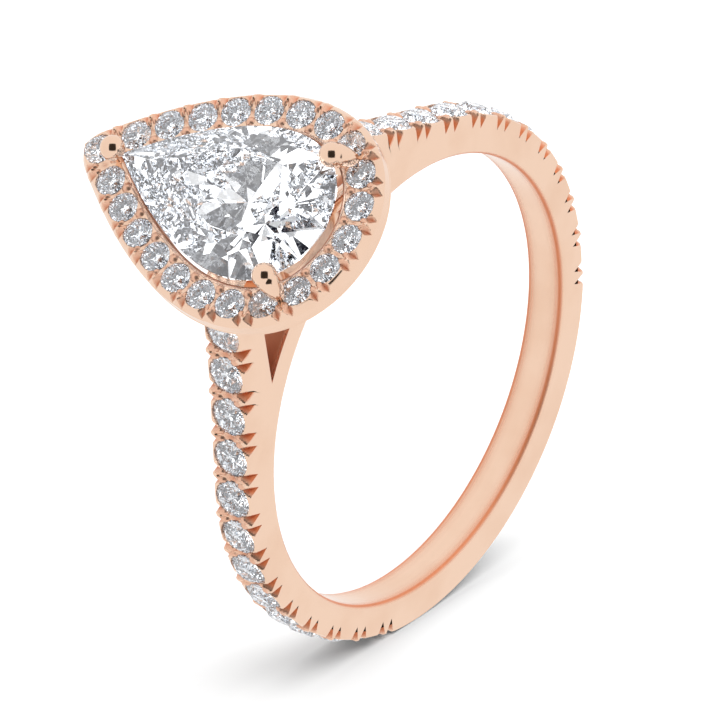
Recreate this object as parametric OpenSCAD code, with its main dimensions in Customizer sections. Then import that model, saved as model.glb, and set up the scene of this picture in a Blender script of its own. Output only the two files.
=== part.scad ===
// Engagement ring with a pear halo head: cathedral shank, halo frame, claw basket and stones.
// Millimetres. The origin is the centre of the finger hole, Y is the finger's axis, +Z points out
// through the head and the pear's tip points to +Y.

/* [Finger] */
// Radius of the finger hole
finger_r = 8.4; // [8:0.1:9]
// Width of the band along the finger
band_w = 1.6; // [1.5:0.05:1.8]
// Chamfer where the finger hole meets the side faces
bore_chamfer = 0.12; // [0.05:0.01:0.2]

/* [Shank] */
// Radius of the outer circle of the band
band_r = 9.86; // [9.8:0.01:9.95]
// How far the outer circle's centre is above the finger hole's centre, so that the bottom is thinner
band_lift = 0.2; // [0.1:0.01:0.25]
// Outer radius of the plain rail that runs under the head
finger_rail_r = 9.37; // [9.3:0.01:9.45]
// Angle from the top at which each shoulder leaves the band's circle
shoulder_start = 54; // [52:1:56]
// Half distance between the shoulders' outer faces where they reach the halo
shoulder_top_x = 3.34; // [3.2:0.02:3.5]
// Lean of a shoulder's outer face from the vertical where it reaches the halo
shoulder_top_lean = 28; // [24:1:32]
// Half distance between the shoulders' inner faces where they reach the halo
shoulder_inner_x = 1.86; // [1.8:0.02:2]
// Angle from the top at which each shoulder's inner face meets the plain rail
window_angle = 27.2; // [26:0.2:28]

/* [Shoulder stones] */
// Diameter of a shoulder stone
shoulder_stone_d = 1.42; // [1.3:0.01:1.45]
// Distance from one shoulder stone to the next along the shoulder
shoulder_pitch = 1.69; // [1.66:0.01:1.72]
// Distance along the shoulder from the halo to the first stone
shoulder_first = 1.7; // [1.6:0.05:1.8]
// Stones on each shoulder
shoulder_count = 12; // [8:1:12]

/* [Head] */
// Height of the halo stones' tables above the centre of the finger hole
head_z = 13.76; // [13.7:0.02:13.9]
// Half width factor of the pear line that the halo stones follow
pear_w = 4.75; // [4.7:0.01:4.85]
// Half length of that pear line
pear_l = 5.435; // [5.4:0.005:5.5]
// Distance of that pear line's middle from the band's middle, towards the tip
pear_y = 1.355; // [1.3:0.005:1.4]
// Half width of the halo frame at its wall
halo_half = 0.76; // [0.72:0.01:0.8]
// Half width of the halo frame's top, inside the bevel
halo_top_half = 0.62; // [0.6:0.01:0.65]
// How far the frame reaches inside the pear line, close up to the centre stone
halo_inner_half = 0.73; // [0.7:0.01:0.75]
// Height of the halo frame's outer wall
halo_wall = 0.57; // [0.5:0.01:0.6]
// Height from the top of that wall to the stones' tables
halo_bevel = 0.38; // [0.34:0.01:0.42]
// Diameter of a halo stone
halo_stone_d = 1.1; // [1:0.01:1.14]
// Stones round the halo
halo_count = 22; // [22:2:22]
// Distance along the pear line from the stone at the tip to the next one
halo_tip_gap = 1.46; // [1.4:0.01:1.5]

/* [Centre stone] */
// How far the centre stone's edge is inside the halo's pear line
centre_inset = 0.79; // [0.78:0.01:0.82]
// Height of the centre stone's girdle above the halo stones' tables
centre_lift = 0.06; // [0.04:0.01:0.1]
// Thickness of the girdle
centre_girdle = 0.16; // [0.12:0.01:0.2]
// Height of the crown above the girdle
centre_crown = 0.82; // [0.7:0.01:0.9]
// Depth of the pavilion below the girdle
centre_pavilion = 2.45; // [2.3:0.05:2.5]
// Size of the table against the girdle
centre_table = 0.58; // [0.54:0.01:0.62]

/* [Claws] */
// Radius of the ball at the end of a claw
claw_ball_r = 0.45; // [0.42:0.01:0.46]
// Radius of a claw's wire
claw_wire_r = 0.36; // [0.32:0.01:0.38]
// Distance of the side claws from the middle of the head
claw_side_x = 2.42; // [2.36:0.02:2.46]
// Place of the side claws along the finger
claw_side_y = -2.34; // [-2.4:0.02:-2.3]
// Place of the tip claw along the finger
claw_tip_y = 5.78; // [5.7:0.02:5.9]

/* [Basket] */
// Height of the basket ring's underside
basket_z = 10.1; // [10:0.05:10.2]
// Height of the basket ring
basket_h = 0.7; // [0.6:0.05:0.8]
// Size of the basket ring against the halo's pear line
basket_scale = 0.52; // [0.5:0.01:0.54]
// Half width of the basket ring's wire
basket_half = 0.4; // [0.36:0.01:0.44]
// Width of the bridge that carries the basket on the plain rail
bridge_w = 3.2; // [3:0.1:3.4]
// Distance of the side claws' feet from the middle of the basket ring
claw_foot_x = 1.42; // [1.38:0.01:1.46]
// Place of the side claws' feet along the finger
claw_foot_y = -0.75; // [-0.8:0.01:-0.7]

/* [Hidden] */
$fn = 48;
ROSE = "#e9b796";
WHITE = "#f4f6f8";
// Gap between a stone and the metal round it
seat_gap = 0.01;
// Overlap that lets one cut run clear past a face
past = 0.5;
// Proportions of a round brilliant against its diameter
girdle_part = 0.04;
crown_part = 0.16;
pavilion_part = 0.43;
table_part = 0.57;
// How far a small stone's table stands above the metal
table_proud = 0.08;

// Height of a claw ball's middle above the centre stone's girdle
ball_lift = 0.3;
// How far the window's cutter reaches, against the band's radius
cutter_reach = 1.2;
// Radius that a small stone's point is cut to
culet_r = 0.02;
// Size of the centre stone's point against its girdle
culet_part = 0.03;
// Half the step, in degrees, over which the pear line's direction is taken
turn_step = 0.5;

halo_top_z = head_z - table_proud;
wall_top_z = head_z - halo_bevel;
halo_low_z = wall_top_z - halo_wall;
girdle_z = head_z + centre_lift;
ball_z = girdle_z + centre_girdle + ball_lift;
// The centre stone's facets meet this far from the pear line's middle, towards the round end
facet_centre = 0.9;
// How deep the bridge's block reaches into the plain rail's circle before it is cut to it
bridge_sink = 0.3;
// Stretch of band below the shoulders that still carries stones, as an angle from the top
band_end = 140;

function pad(i) = i < 10 ? str("0", i) : str(i);

// A pear line: x is w sin(u) sin(u/2) and y is l cos(u), from the tip at 0 round to the tip again.
function pear(u, w = pear_w, l = pear_l) = [w * sin(u) * sin(u / 2), pear_y + l * cos(u)];
function unit(v) = v / norm(v);
function turned(v) = [v.y, -v.x];
// Outward direction at a place on the pear line
function pear_out(u) =
    let (t = unit(pear(u + turn_step) - pear(u - turn_step)))
    -turned(t) * sign(-turned(t) * (pear(u) - [0, 0.5]));
// The pear line made bigger by off all round, or smaller where off is negative, after scaling by k.
// Its tip is an arc round the point on the outside, and the crossing of the two sides on the inside.
tip_half = atan2(pear_w, pear_l);
function tip_point(off, k) = [0, pear_y + k * pear_l + min(off, 0) / sin(tip_half)];
function pear_line(off, k = 1) = concat(
    off > 0
        ? [for (a = [180 - tip_half : -tip_half / 3 : tip_half]) tip_point(off, k) + off * [cos(a), sin(a)]]
        : [tip_point(off, k)],
    [
        for (u = [5 : 5 : 355])
            let (q = [0, pear_y] + k * (pear(u) - [0, pear_y]) + off * pear_out(u))
            if (u == 180 || sign(180 - u) * q.x > 0.1) q
    ]
);

// Running length along a list of points
function hop(p, i) = i + 1 < len(p) ? norm(p[i + 1] - p[i]) : 0;
function run(p) = [for (i = 0, s = 0; i < len(p); s = s + hop(p, i), i = i + 1) s];
// Place at a distance s along a list of points
function place(s, p, r) = [
    lookup(s, [for (i = [0 : len(p) - 1]) [r[i], p[i].x]]),
    lookup(s, [for (i = [0 : len(p) - 1]) [r[i], p[i].y]])
];

// Half of the pear line, from the tip to the round end, and where the halo's stones lie on it
half_pear = [for (u = [0 : 2 : 180]) pear(u)];
half_run = run(half_pear);
side_pitch = (half_run[90] - halo_tip_gap) / (halo_count / 2 - 1);
function halo_s(i) = i == 0 ? 0 : halo_tip_gap + (i - 1) * side_pitch;
function halo_place(i) =
    let (m = i <= halo_count / 2 ? i : halo_count - i, q = place(halo_s(m), half_pear, half_run))
    [i <= halo_count / 2 ? -q.x : q.x, q.y];

// A shoulder's outer face, seen along the finger: a curve from the halo down to the band, then the band
function on_band(a) =
    let (r = band_lift * cos(a) + sqrt(pow(band_r, 2) - pow(band_lift * sin(a), 2)))
    r * [sin(a), cos(a)];
function bezier(t, p) =
    pow(1 - t, 3) * p[0] + 3 * t * pow(1 - t, 2) * p[1] + 3 * t * t * (1 - t) * p[2] + pow(t, 3) * p[3];
curve_foot = on_band(shoulder_start);
curve_top = [shoulder_top_x, halo_low_z];
curve_reach = norm(curve_top - curve_foot) / 3;
curve = [
    curve_top,
    curve_top + curve_reach * [sin(shoulder_top_lean), -cos(shoulder_top_lean)],
    curve_foot + curve_reach * [-cos(shoulder_start), sin(shoulder_start)],
    curve_foot
];
curve_pts = [for (i = [0 : 16]) bezier(i / 16, curve)];
rail_pts = concat(curve_pts, [for (a = [shoulder_start + 2 : 2 : band_end]) on_band(a)]);
rail_run = run(rail_pts);
function rail_place(s) = place(s, rail_pts, rail_run);
// Angle from the vertical of the outward direction at a distance s along a shoulder
function rail_tilt(s) =
    let (d = rail_place(s + 0.1) - rail_place(s - 0.1))
    atan2(-d.y, d.x);

// A round brilliant with its table at the origin, looking up; gap makes it a seat cutter
module brilliant(d, gap = 0) {
    crown = crown_part * d;
    girdle = girdle_part * d;
    translate([0, 0, -crown]) cylinder(h = crown, r1 = d / 2 + gap, r2 = table_part * d / 2 + gap, $fn = 24);
    translate([0, 0, -crown - girdle]) cylinder(h = girdle, r = d / 2 + gap, $fn = 24);
    translate([0, 0, -crown - girdle - pavilion_part * d - gap])
        cylinder(h = pavilion_part * d + gap, r1 = culet_r, r2 = d / 2 + gap, $fn = 24);
}

// The hole that is drilled for a small stone: its seat, and the open way above it
module seat(d) {
    brilliant(d, seat_gap);
    translate([0, 0, -crown_part * d]) cylinder(h = crown_part * d + past, r = d / 2 + seat_gap, $fn = 24);
}

module at_halo(i) {
    q = halo_place(i);
    translate([q.x, q.y, head_z]) children();
}

// side is -1 on the left shoulder and 1 on the right one
module at_shoulder(i, side) {
    s = shoulder_first + i * shoulder_pitch;
    q = rail_place(s);
    translate([side * q.x, 0, q.y])
        rotate([0, side * rail_tilt(s), 0])
            translate([0, 0, table_proud]) children();
}

module centre_body(gap = 0) {
    edge = pear_line(-centre_inset + gap);
    slab = 0.01;
    mid = [0, pear_y - facet_centre];
    module flat_pear(k, h) {
        linear_extrude(h) translate(mid) scale(k) translate(-mid) polygon(edge);
    }
    hull() {
        translate([0, 0, girdle_z]) flat_pear(1, centre_girdle);
        translate([0, 0, girdle_z + centre_girdle + centre_crown - slab]) flat_pear(centre_table, slab);
    }
    hull() {
        translate([0, 0, girdle_z]) flat_pear(1, slab);
        translate([0, 0, girdle_z - centre_pavilion]) flat_pear(culet_part, slab);
    }
}

// Side outline of one shoulder, filled down to the middle of the plain rail
module shoulder_side(side) {
    foot = (finger_r + finger_rail_r) / 2;
    apex = finger_rail_r * [sin(window_angle), cos(window_angle)];
    outline = concat(
        curve_pts,
        [foot * [sin(shoulder_start), cos(shoulder_start)], foot * [sin(window_angle), cos(window_angle)]],
        [apex, [shoulder_inner_x, halo_low_z]]
    );
    rotate([90, 0, 0]) linear_extrude(band_w, center = true)
        polygon([for (p = outline) [side * p.x, p.y]]);
}

// A cylinder along the finger, as wide as w, its middle raised by lift
module round_band(w, r, lift = 0) {
    rotate([90, 0, 0]) translate([0, lift, 0]) cylinder(h = w, r = r, center = true, $fn = 180);
}

// The cast shank: the band, the plain rail under the head and the two shoulders, with stone seats
module shank() {
    cone = 2 * bore_chamfer;
    color(ROSE)
    difference() {
        union() {
            difference() {
                round_band(band_w, band_r, band_lift);
                window_cut();
            }
            round_band(band_w, finger_rail_r);
            shoulder_side(-1);
            shoulder_side(1);
        }
        round_band(band_w + past, finger_r);
        for (side = [-1, 1])
            rotate([side * 90, 0, 0])
                translate([0, 0, band_w / 2 - bore_chamfer])
                    cylinder(h = cone, r1 = finger_r, r2 = finger_r + cone, $fn = 180);
        for (side = [-1, 1])
            for (i = [0 : shoulder_count - 1])
                at_shoulder(i, side) seat(shoulder_stone_d);
    }
}

// Everything of the band's circle that lies between the shoulders' feet
module window_cut() {
    reach = band_r * cutter_reach;
    span = reach * [sin(shoulder_start), cos(shoulder_start)];
    rotate([90, 0, 0]) linear_extrude(band_w + past, center = true)
        polygon([[0, 0], [span.x, span.y], [span.x, reach], [-span.x, reach], [-span.x, span.y]]);
}

module claw_wire(foot, head, grow = 0) {
    d = head - foot;
    translate(foot)
        rotate([0, acos(d.z / norm(d)), atan2(d.y, d.x)])
            cylinder(h = norm(d), r = claw_wire_r + grow, $fn = 32);
    translate(head) sphere(r = claw_ball_r + grow, $fn = 32);
}
tip_foot = [0, pear_y + basket_scale * pear_l, basket_z + basket_h];
function claw_side(kind) = kind == "left" ? -1 : 1;
function claw_head(kind) =
    kind == "tip" ? [0, claw_tip_y, ball_z] : [claw_side(kind) * claw_side_x, claw_side_y, ball_z];
function claw_foot(kind) =
    kind == "tip" ? tip_foot : [claw_side(kind) * claw_foot_x, claw_foot_y, basket_z + basket_h];

module claw(kind) {
    color(ROSE)
    difference() {
        claw_wire(claw_foot(kind), claw_head(kind));
        centre_body(seat_gap);
        // The wire starts on the basket ring's flat top
        translate([0, 0, basket_z]) linear_extrude(basket_h) square(4 * pear_l, center = true);
    }
}

// The halo frame: a pear-shaped wall with a bevel above it, drilled for its stones
module halo_frame() {
    color(ROSE)
    difference() {
        union() {
            translate([0, 0, halo_low_z]) linear_extrude(halo_wall) polygon(pear_line(halo_half));
            translate([0, 0, wall_top_z])
                linear_extrude(halo_top_z - wall_top_z) polygon(pear_line(halo_top_half));
        }
        translate([0, 0, halo_low_z - past]) linear_extrude(2 * past + halo_wall + halo_bevel)
            polygon(pear_line(-halo_inner_half));
        for (i = [0 : halo_count - 1]) at_halo(i) seat(halo_stone_d);
        for (kind = ["tip", "left", "right"]) claw_wire(claw_foot(kind), claw_head(kind), seat_gap);
    }
}

// The small pear-shaped ring that the claws stand on
module basket_ring() {
    color(ROSE)
    translate([0, 0, basket_z]) linear_extrude(basket_h)
        difference() {
            polygon(pear_line(basket_half, basket_scale));
            polygon(pear_line(-basket_half, basket_scale));
        }
}

// The bridge under the basket ring, standing on the plain rail
module basket_bridge() {
    low = finger_rail_r - bridge_sink;
    color(ROSE)
    difference() {
        translate([-bridge_w / 2, -band_w / 2, low]) cube([bridge_w, band_w, basket_z - low]);
        round_band(2 * band_w, finger_rail_r);
    }
}

module centre_stone() {
    color(WHITE) centre_body();
}

module halo_stone(i) {
    color(WHITE) at_halo(i) brilliant(halo_stone_d);
}

module shoulder_stone(i, side) {
    color(WHITE) at_shoulder(i, side) brilliant(shoulder_stone_d);
}

shank();
halo_frame();
basket_ring();
basket_bridge();
claw("tip");  // claw_tip
claw("left");  // claw_left
claw("right");  // claw_right
centre_stone();
for (i = [1 : halo_count])
    halo_stone(i - 1);
for (i = [1 : shoulder_count])
    shoulder_stone(i - 1, -1);
for (i = [1 : shoulder_count])
    shoulder_stone(i - 1, 1);
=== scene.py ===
# %% [markdown]
# # An engagement ring with a pear halo
# The ring is a cast rose gold shank with a row of round diamonds on each shoulder. It carries a
# pear-shaped halo of small diamonds, and three claws hold a pear diamond in the middle.
# Polished metal and cut stones show every fault in a surface, so each piece here is a surface
# worked out from a formula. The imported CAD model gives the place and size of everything.

import bmesh
import bpy
import numpy as np
from mathutils import Matrix, Vector


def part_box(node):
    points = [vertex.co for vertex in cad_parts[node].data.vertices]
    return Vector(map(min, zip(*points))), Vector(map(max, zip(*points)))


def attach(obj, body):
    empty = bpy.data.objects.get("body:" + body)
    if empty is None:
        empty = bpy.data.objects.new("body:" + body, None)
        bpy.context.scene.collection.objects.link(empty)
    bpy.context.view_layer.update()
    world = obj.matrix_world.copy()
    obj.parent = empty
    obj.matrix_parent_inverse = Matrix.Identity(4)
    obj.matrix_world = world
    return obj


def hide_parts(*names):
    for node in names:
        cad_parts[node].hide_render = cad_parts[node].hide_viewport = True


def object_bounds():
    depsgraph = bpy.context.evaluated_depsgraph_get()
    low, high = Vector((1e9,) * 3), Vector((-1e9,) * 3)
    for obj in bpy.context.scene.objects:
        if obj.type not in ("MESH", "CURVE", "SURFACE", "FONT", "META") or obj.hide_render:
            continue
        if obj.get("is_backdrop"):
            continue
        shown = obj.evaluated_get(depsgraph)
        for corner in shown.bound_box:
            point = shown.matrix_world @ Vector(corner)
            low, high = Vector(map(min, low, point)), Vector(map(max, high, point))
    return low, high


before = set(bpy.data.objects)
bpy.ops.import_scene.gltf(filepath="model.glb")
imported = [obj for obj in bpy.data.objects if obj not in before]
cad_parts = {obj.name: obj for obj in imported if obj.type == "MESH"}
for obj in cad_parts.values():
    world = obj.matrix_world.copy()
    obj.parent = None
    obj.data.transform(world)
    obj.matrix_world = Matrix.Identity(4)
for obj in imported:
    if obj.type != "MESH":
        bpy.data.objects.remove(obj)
cad_low, cad_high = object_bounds()
MM = 0.001  # the sizes below are written in millimetres, and the meshes are in metres
print("CAD box in mm:", [round(x / MM, 2) for x in (*cad_low, *cad_high)])

# %% [markdown]
# ## The camera
# The ring is seen from above and to the left, turned on its side as a ring lies on a table.
# A long lens from 30 cm away keeps its perspective gentle, as in close-up product work.
# Azimuth and elevation say where the camera stands, and roll turns the picture.

# %% Camera
AZIMUTH, ELEVATION, ROLL = np.radians([-23.11, 54.58, 41.96])
DISTANCE = 300.1 * MM
AIM = Vector((-0.288, 1.398, 0.834)) * MM
LENS = 421.8


def camera_axes():
    """Back points from the aim to the camera, and up is turned by the roll about it."""
    level_part = np.cos(ELEVATION)
    back = Vector((np.sin(AZIMUTH) * level_part, -np.cos(AZIMUTH) * level_part, np.sin(ELEVATION)))
    level = back.cross(Vector((0, 0, 1))).normalized() * -1
    upright = back.cross(level)
    up = upright * float(np.cos(ROLL)) + level * float(np.sin(ROLL))
    return up.cross(back), up, back


def make_camera():
    right, up, back = camera_axes()
    camera = bpy.data.objects.new("camera", bpy.data.cameras.new("camera"))
    turn = Matrix((right, up, back)).transposed().to_4x4()
    camera.matrix_world = Matrix.Translation(AIM + back * DISTANCE) @ turn
    camera.data.lens = LENS
    camera.data.sensor_width = 36
    camera.data.clip_start = 0.01
    bpy.context.scene.collection.objects.link(camera)
    bpy.context.scene.camera = camera
    return camera


camera = make_camera()
print("camera at (mm)", [round(x / MM, 1) for x in camera.location])

# %% [markdown]
# ## Rose gold
# Rose gold is gold with copper. A bare metal has no colour but the one it mirrors light with, so
# on its polished skin the shader is fully metallic. Where gold mirrors gold the colour deepens to
# copper by itself, and on top of that the crevices' red is painted shade: where the mesh marks a place
# as deep, the base colour is mixed towards a deep copper. Fine noise makes the polish uneven: a surface
# that is perfectly smooth looks like plastic. In the cuts the polish never reached, grime and oxide
# scatter the light, so there the shader is also rougher and partly matt.

# %% Rose gold
GOLD_LIGHT = (0.90, 0.64, 0.485, 1)
GOLD_WARM = (0.85, 0.575, 0.42, 1)
# painted shade: the copper that deep places are mixed towards
SHADE_COPPER = (0.68, 0.20, 0.075, 1)
CUT_METAL = 0.35  # how metallic a cut's bottom still is
CUT_ROUGH = 0.38  # how much rougher it is than the polish


def noise(tree, scale, detail):
    """A noise texture on the piece's own Object coordinates; scale is in bumps per metre."""
    coords = tree.nodes.new("ShaderNodeTexCoord")
    tex = tree.nodes.new("ShaderNodeTexNoise")
    tex.inputs["Scale"].default_value = scale
    tex.inputs["Detail"].default_value = detail
    tree.links.new(coords.outputs["Object"], tex.inputs["Vector"])
    return tex


def span(tree, source, low, high, at_low=0.0, at_high=1.0):
    """Maps a value running from low to high onto at_low to at_high, and holds it there beyond."""
    node = tree.nodes.new("ShaderNodeMapRange")
    for name, value in (("From Min", low), ("From Max", high), ("To Min", at_low), ("To Max", at_high)):
        node.inputs[name].default_value = value
    tree.links.new(source, node.inputs["Value"])
    return node.outputs["Result"]


def combine(tree, how, a, b):
    """Two values into one by a Math node."""
    node = tree.nodes.new("ShaderNodeMath")
    node.operation = how
    for socket, value in zip(node.inputs, (a, b)):
        if isinstance(value, (int, float)):
            socket.default_value = value
        else:
            tree.links.new(value, socket)
    return node.outputs[0]


def mixed(tree, factor, a, b):
    """Two colours mixed by a factor. A colour is a fixed value or another node's output."""
    node = tree.nodes.new("ShaderNodeMix")
    node.data_type = "RGBA"
    tree.links.new(factor, node.inputs["Factor"])
    for socket, value in (("A", a), ("B", b)):
        socket = [i for i in node.inputs if i.name == socket and i.type == "RGBA"][0]
        if isinstance(value, tuple):
            socket.default_value = value
        else:
            tree.links.new(value, socket)
    return [o for o in node.outputs if o.type == "RGBA"][0]


def deep(tree):
    """The mesh's own measure of how deep a place lies, from 0 on the polished skin to 1 in a cut. In the gold
    it sets how much painted copper shade a place gets.
    """
    node = tree.nodes.new("ShaderNodeAttribute")
    node.attribute_name = "deep"
    return node.outputs["Fac"]


def rose_gold(name, rough_low, rough_high, bump):
    """Rose gold: tone and roughness drift with slow noise, cuts get painted copper shade, fine noise marks
    the polish.
    """
    material = bpy.data.materials.new(name)
    material.use_nodes = True
    tree = material.node_tree
    shader = tree.nodes["Principled BSDF"]
    tree.links.new(span(tree, deep(tree), 0, 1, 1.0, CUT_METAL), shader.inputs["Metallic"])
    slow = noise(tree, 420, 3).outputs["Fac"]
    skin = mixed(tree, span(tree, slow, 0.25, 0.55), GOLD_WARM, GOLD_LIGHT)
    # painted shade: the base colour turns copper where the mesh marks a place as deep
    tree.links.new(mixed(tree, deep(tree), skin, SHADE_COPPER), shader.inputs["Base Color"])
    polish = span(tree, slow, 0, 1, rough_low, rough_high)
    in_cut = combine(tree, "MULTIPLY", deep(tree), CUT_ROUGH)
    tree.links.new(combine(tree, "ADD", polish, in_cut), shader.inputs["Roughness"])
    relief = tree.nodes.new("ShaderNodeBump")
    relief.inputs["Strength"].default_value = bump
    relief.inputs["Distance"].default_value = 0.01 * MM
    tree.links.new(noise(tree, 9000, 4).outputs["Fac"], relief.inputs["Height"])
    tree.links.new(relief.outputs["Normal"], shader.inputs["Normal"])
    return material


polished = rose_gold("rose_gold_polished", 0.08, 0.16, 0.03)
bright_cut = rose_gold("rose_gold_bright_cut", 0.09, 0.18, 0.06)
cast = rose_gold("rose_gold_as_cast", 0.30, 0.45, 0.35)
print("metals:", polished.name, bright_cut.name, cast.name)

# %% [markdown]
# ## Diamond
# A diamond is a clear solid that bends light more than any other gem, and its flat facets do the
# rest. The shader is plain transmission with diamond's refractive index of 2.42, so every sparkle
# comes from real facets in the mesh. A well cut stone throws back nearly all the light that
# reaches its lower facets, so from inside these are mirrors. A trace of noise tints the stone.

# %% Diamond
DIAMOND_INDEX = 2.42


def diamond(name, tint_low, tint_high):
    """Clear where light comes in. From inside, the lower facets, which are marked deep, are mirrors."""
    material = bpy.data.materials.new(name)
    material.use_nodes = True
    tree = material.node_tree
    shader = tree.nodes["Principled BSDF"]
    shader.inputs["Transmission Weight"].default_value = 1.0
    shader.inputs["IOR"].default_value = DIAMOND_INDEX
    shader.inputs["Roughness"].default_value = 0.0
    tint = mixed(tree, noise(tree, 1500, 2).outputs["Fac"], tint_low, tint_high)
    tree.links.new(tint, shader.inputs["Base Color"])
    mirror = tree.nodes.new("ShaderNodeBsdfAnisotropic")
    mirror.inputs["Roughness"].default_value = 0.0
    tree.links.new(tint, mirror.inputs["Color"])
    inside = tree.nodes.new("ShaderNodeNewGeometry").outputs["Backfacing"]
    choice = tree.nodes.new("ShaderNodeMixShader")
    tree.links.new(combine(tree, "MULTIPLY", inside, deep(tree)), choice.inputs["Fac"])
    tree.links.new(shader.outputs["BSDF"], choice.inputs[1])
    tree.links.new(mirror.outputs["BSDF"], choice.inputs[2])
    tree.links.new(choice.outputs["Shader"], tree.nodes["Material Output"].inputs["Surface"])
    return material


centre_diamond = diamond("diamond_centre", (0.95, 0.955, 0.965, 1), (0.985, 0.99, 0.995, 1))
small_diamond = diamond("diamond_small", (0.92, 0.935, 0.955, 1), (0.98, 0.985, 0.99, 1))
print("stones:", centre_diamond.name, small_diamond.name)

# %% [markdown]
# ## From arrays to pieces
# Each surface below is a grid of points. One function turns grids into a closed mesh: it merges
# the points that two grids share, points the faces outwards and keeps sharp edges sharp.

# %% Mesh helpers
WELD = 1e-7


def grid_faces(rows, cols, first=0):
    """Quads between neighbouring points of a rows by cols grid, whose last column joins the first."""
    r, c = np.meshgrid(np.arange(rows - 1), np.arange(cols), indexing="ij")
    right = (c + 1) % cols
    quads = np.stack([r * cols + c, r * cols + right, (r + 1) * cols + right, (r + 1) * cols + c], -1)
    return (quads + first).reshape(-1, 4)


def off_mirror(points, faces):
    """The faces without those that lie wholly in the plane x = 0, where the two sides of a tip meet."""
    return faces[np.abs(points[faces, 0]).max(axis=1) > 1e-6]


def make_piece(name, points, faces, material, nodes, smooth=30, depth=None):
    """A finished piece: points in mm, faces as lists of indices, welded, facing outwards.
    depth goes to the shader as how deep each point lies, and is 0 everywhere when not given."""
    mesh = bpy.data.meshes.new(name)
    mesh.from_pydata((np.asarray(points) * MM).tolist(), [], [tuple(map(int, f)) for f in faces])
    depth = np.zeros(len(points)) if depth is None else np.asarray(depth, float).ravel()
    mesh.attributes.new("deep", "FLOAT", "POINT").data.foreach_set("value", depth)
    work = bmesh.new()
    work.from_mesh(mesh)
    bmesh.ops.remove_doubles(work, verts=work.verts, dist=WELD)
    bmesh.ops.dissolve_degenerate(work, edges=work.edges, dist=WELD)
    bmesh.ops.recalc_face_normals(work, faces=work.faces)
    work.to_mesh(mesh)
    work.free()
    if smooth:
        mesh.shade_smooth()
        mesh.set_sharp_from_angle(angle=np.radians(smooth))
    mesh.materials.append(material)
    piece = bpy.data.objects.new(name, mesh)
    bpy.context.scene.collection.objects.link(piece)
    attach(piece, "root")
    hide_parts(*nodes)
    return piece


# %% [markdown]
# ## The lines that everything follows
# Two curves carry the whole ring. The shoulder line, seen along the finger, falls from the halo
# to the band and then goes round it. The pear line, seen from above, runs through the halo's stones.
# Both are sampled finely once, and a place on them is then looked up by its distance along them.

# %% Shoulder line
FINGER_R, BAND_W = 8.4, 1.6
BAND_R, BAND_LIFT = 9.86, 0.2
RAIL_R = 9.37  # outside of the plain rail under the head
SHOULDER_START, WINDOW_ANGLE = np.radians([54, 27.2])
HALO_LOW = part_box("halo_frame")[0].z / MM
SHOULDER_TOP = np.array([3.34, HALO_LOW])
TOP_LEAN = np.radians(28)
INNER_TOP = np.array([1.86, HALO_LOW])


def on_band(angle):
    """The band's outer circle, as seen from the finger hole's middle, which lies a little lower."""
    radius = BAND_LIFT * np.cos(angle) + np.sqrt(BAND_R**2 - (BAND_LIFT * np.sin(angle)) ** 2)
    return np.stack([radius * np.sin(angle), radius * np.cos(angle)], -1)


def shoulder_curve(t):
    """A cubic Bezier from the halo down to the band, tangent to the band's circle where it lands."""
    foot = on_band(SHOULDER_START)
    reach = np.linalg.norm(SHOULDER_TOP - foot) / 3
    a = SHOULDER_TOP + reach * np.array([np.sin(TOP_LEAN), -np.cos(TOP_LEAN)])
    b = foot + reach * np.array([-np.cos(SHOULDER_START), np.sin(SHOULDER_START)])
    t = t[:, None]
    return (1 - t) ** 3 * SHOULDER_TOP + 3 * t * (1 - t) ** 2 * a + 3 * t**2 * (1 - t) * b + t**3 * foot


def running(points):
    """Distance along a line of points, from its first point to each."""
    return np.concatenate([[0], np.cumsum(np.linalg.norm(np.diff(points, axis=0), axis=1))])


line = np.concatenate(
    [shoulder_curve(np.linspace(0, 1, 400)), on_band(np.linspace(SHOULDER_START, np.pi, 1600))[1:]]
)
line_run = running(line)


def shoulder_at(s):
    """Place (x, z) and outward direction on the shoulder line, at distances s from the halo."""
    place = np.stack([np.interp(s, line_run, line[:, k]) for k in (0, 1)], -1)
    step = 0.02
    ahead = np.stack([np.interp(s + step, line_run, line[:, k]) for k in (0, 1)], -1)
    behind = np.stack([np.interp(s - step, line_run, line[:, k]) for k in (0, 1)], -1)
    along = ahead - behind
    along /= np.linalg.norm(along, axis=-1, keepdims=True)
    return place, np.stack([-along[:, 1], along[:, 0]], -1)


line_angle = np.arctan2(line[:, 0], line[:, 1])
S_WINDOW = float(np.interp(WINDOW_ANGLE, line_angle, line_run))
S_BOTTOM = float(line_run[-1])
print("shoulder line: window foot at %.2f mm, bottom at %.2f mm" % (S_WINDOW, S_BOTTOM))

# %% [markdown]
# ## Cut-down settings
# The small stones sit in a row with no rim round them. The setter drills a seat for each, cuts two
# narrow V notches into the edge between neighbours, and pushes the metal that is left between the
# notches over the stones as prongs. All of that is one relief over the flat metal: a height for
# each place, from the distance to the nearest stone and to the nearest gap between two stones.

# %% The relief of a stone row
NOTHING = -9.0  # lower than any metal
ROW_STONE_R = 0.71  # the stone that the sizes in this cell are given for
SEAT_TOP, SEAT_SLOPE = -0.32, 0.86
LEDGE_TOP, LEDGE_DIP = -0.09, 0.13
WEB_TOP, WEB_FALL, WEB_CREASE = -0.02, 2.2, 0.12
PRONG_DEPTH = 0.35  # prongs are pushed over by hand; they get this much painted copper shade, and are rougher than the flat metal


def tent(x, half):
    """1 at zero, falling in straight lines to 0 at half on either side."""
    return np.clip(1 - np.abs(x) / half, 0, 1)


def dome(x, y):
    """Height of a round dome over a unit circle."""
    return np.sqrt(np.clip(1 - x**2 - y**2, 0, 1))


def bead(base, height, x, y):
    """A dome standing on the height base, and nothing outside its unit circle."""
    high = dome(x, y)
    return np.where(high > 0, base + height * high, NOTHING)


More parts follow.
